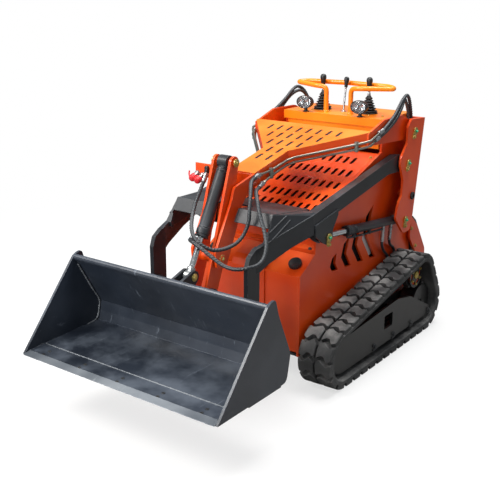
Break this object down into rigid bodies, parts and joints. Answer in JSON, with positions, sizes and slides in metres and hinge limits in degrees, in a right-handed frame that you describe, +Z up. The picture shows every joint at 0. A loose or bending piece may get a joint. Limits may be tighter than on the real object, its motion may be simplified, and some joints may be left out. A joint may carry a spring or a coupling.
{
  "type": "compact tracked skid steer loader",
  "caption": "Walk-behind compact skid steer loader on rubber tracks, with a self-levelling lift linkage, a tilting bucket, a stand-up control console and a hinged rear engine door",
  "frame": {"origin": "middle of the machine on the ground, halfway between the bucket edge and the rear weight", "axes": "+X to the machine's left, +Y to its rear, +Z up; the bucket is at -Y"},
  "size_m": [1.02, 2.09, 1.2763],
  "materials": {
    "orange_paint": "satin",
    "amber_paint": "satin",
    "black_paint": "satin",
    "grey_paint": "satin",
    "cast_metal": "rough",
    "track_rubber": "matte",
    "soft_black": "matte",
    "worn_steel": "worn",
    "chrome_rod": "polished"
  },
  "bodies": {
    "chassis": {"side_wall_left": "orange_paint", "side_wall_right": "orange_paint", "tower_left": "orange_paint", "tower_right": "orange_paint", "rear_skirt_left": "orange_paint", "rear_skirt_right": "orange_paint", "tank_left": "orange_paint", "tank_right": "orange_paint", "front_cover": "orange_paint", "bulkhead": "orange_paint", "engine_hood": "orange_paint", "belly_pan": "black_paint", "console": "amber_paint", "rear_weight": "black_paint", "engine": "cast_metal", "handlebar": "amber_paint", "headlight_left": "grey_paint", "headlight_right": "grey_paint", "joystick_left": "soft_black", "joystick_right": "soft_black", "centre_lever": "worn_steel", "track_left": "track_rubber", "track_right": "track_rubber", "track_frame_left": "grey_paint", "track_frame_right": "grey_paint", "track_rollers_left": "grey_paint", "track_rollers_right": "grey_paint", "drive_sprocket_left": "cast_metal", "drive_sprocket_right": "cast_metal", "rear_hose_1_left": "soft_black", "rear_hose_1_right": "soft_black", "rear_hose_2_left": "soft_black", "rear_hose_2_right": "soft_black", "lift_hose_1_left": "soft_black", "lift_hose_1_right": "soft_black", "lift_hose_2_left": "soft_black", "lift_hose_2_right": "soft_black"},
    "lift_arms": {"lift_arm_left": "black_paint", "lift_arm_right": "black_paint", "boom_bridge": "black_paint"},
    "upper_link": {"upper_link": "orange_paint", "steel_pipes_left": "chrome_rod", "steel_pipes_right": "chrome_rod", "coupler_hose": "soft_black", "tilt_hose": "soft_black"},
    "front_link": {"front_link": "orange_paint", "aux_couplers": "chrome_rod"},
    "bucket_tool": {"bucket_carrier": "black_paint", "bucket": "black_paint", "cutting_edge": "worn_steel"},
    "tilt_barrel": {"tilt_barrel": "black_paint"},
    "tilt_rod": {"tilt_rod": "chrome_rod"},
    "lift_barrel_left": {"lift_barrel_left": "black_paint"},
    "lift_barrel_right": {"lift_barrel_right": "black_paint"},
    "lift_rod_left": {"lift_rod_left": "chrome_rod"},
    "lift_rod_right": {"lift_rod_right": "chrome_rod"},
    "rear_door": {"rear_door": "orange_paint"}
  },
  "joints": [
    {"name": "lift", "type": "hinge", "parent": "chassis", "child": "lift_arms", "pos_m": [0, 0.681, 0.873], "axis": [-1, 0, 0], "range_deg": [-12.5, 70]},
    {"name": "upper_link_swing", "type": "hinge", "parent": "chassis", "child": "upper_link", "pos_m": [0, 0.738, 1.022], "axis": [-1, 0, 0], "range_deg": [-13, 70.5], "deforming": ["rear_hose_1_left", "rear_hose_1_right", "rear_hose_2_left", "rear_hose_2_right"]},
    {"name": "front_link_swing", "type": "hinge", "parent": "upper_link", "child": "front_link", "pos_m": [0, -0.441, 0.625], "axis": [-1, 0, 0], "range_deg": [-70.5, 13], "deforming": ["coupler_hose", "tilt_hose"]},
    {"name": "tilt", "type": "hinge", "parent": "front_link", "child": "bucket_tool", "pos_m": [0, -0.498, 0.476], "axis": [-1, 0, 0], "range_deg": [-45, 35]},
    {"name": "tilt_cylinder_swing", "type": "hinge", "parent": "front_link", "child": "tilt_barrel", "pos_m": [0, -0.329, 1.006], "axis": [-1, 0, 0], "range_deg": [-2.25, 2.75]},
    {"name": "tilt_rod_slide", "type": "slide", "parent": "tilt_barrel", "child": "tilt_rod", "axis": [0, -0.494, -0.8695], "range_m": [-0.0692, 0.0884]},
    {"name": "lift_cylinder_swing_left", "type": "hinge", "parent": "chassis", "child": "lift_barrel_left", "pos_m": [0.304, 0.683, 0.586], "axis": [-1, 0, 0], "range_deg": [-11.06, 59.65], "deforming": ["lift_hose_1_left", "lift_hose_2_left"]},
    {"name": "lift_rod_slide_left", "type": "slide", "parent": "lift_barrel_left", "child": "lift_rod_left", "axis": [0, -0.994, 0.1097], "range_m": [-0.0544, 0.2952]},
    {"name": "lift_cylinder_swing_right", "type": "hinge", "parent": "chassis", "child": "lift_barrel_right", "pos_m": [-0.304, 0.683, 0.586], "axis": [-1, 0, 0], "range_deg": [-11.06, 59.65], "deforming": ["lift_hose_1_right", "lift_hose_2_right"]},
    {"name": "lift_rod_slide_right", "type": "slide", "parent": "lift_barrel_right", "child": "lift_rod_right", "axis": [0, -0.994, 0.1097], "range_m": [-0.0544, 0.2952]},
    {"name": "rear_door_hinge", "type": "hinge", "parent": "chassis", "child": "rear_door", "pos_m": [-0.258, 0.868, 0.8], "axis": [0, -0.1315, 0.9913], "range_deg": [0, 100]}
  ],
  "couplings": [
    {"joint": "upper_link_swing", "follows": "lift", "ratio": 1},
    {"joint": "front_link_swing", "follows": "lift", "ratio": -1},
    {"joint": "tilt_cylinder_swing", "follows": "tilt", "ratio": -0.05},
    {"joint": "tilt_rod_slide", "follows": "tilt", "m_per_rad": -0.11},
    {"joint": "lift_cylinder_swing_left", "follows": "lift", "ratio": 0.845},
    {"joint": "lift_rod_slide_left", "follows": "lift", "m_per_rad": 0.24},
    {"joint": "lift_cylinder_swing_right", "follows": "lift", "ratio": 0.845},
    {"joint": "lift_rod_slide_right", "follows": "lift", "m_per_rad": 0.24}
  ]
}
